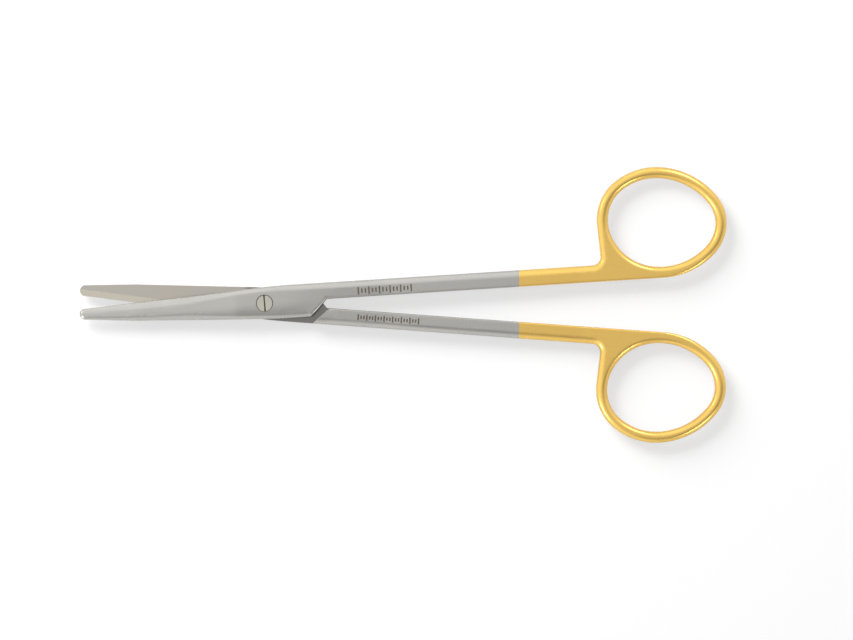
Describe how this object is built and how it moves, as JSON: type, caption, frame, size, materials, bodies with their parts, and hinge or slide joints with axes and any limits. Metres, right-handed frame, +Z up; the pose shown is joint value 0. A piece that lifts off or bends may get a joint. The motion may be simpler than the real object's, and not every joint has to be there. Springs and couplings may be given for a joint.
{
  "type": "dissecting scissors",
  "caption": "Long straight dissecting scissors with blunt tips, hard-metal strips along the cutting edges, a slotted screw joint and gold-plated oval finger rings.",
  "frame": {"origin": "on the pivot axis, at the flat underside of the joint that the scissors lie on", "axes": "+X from the pivot to the finger rings, midway between the halves; +Z up along the pivot, towards the screw's head"},
  "size_m": [0.1798, 0.0768, 0.0052],
  "materials": {
    "polished_steel": "satin polished stainless steel, gold plated on the rings and the shank ends",
    "hard_metal": "ground hard metal, slightly warmer than the steel",
    "screw_steel": "turned stainless steel"
  },
  "bodies": {
    "lower": {"lower_half": "polished_steel", "lower_blade_insert": "hard_metal", "pivot_screw": "screw_steel"},
    "upper": {"upper_half": "polished_steel", "upper_blade_insert": "hard_metal"}
  },
  "joints": [
    {"name": "blade_pivot", "type": "hinge", "parent": "lower", "child": "upper", "pos_m": [0, 0, 0], "axis": [0, 0, 1], "range_deg": [-7.4, 135]}
  ]
}
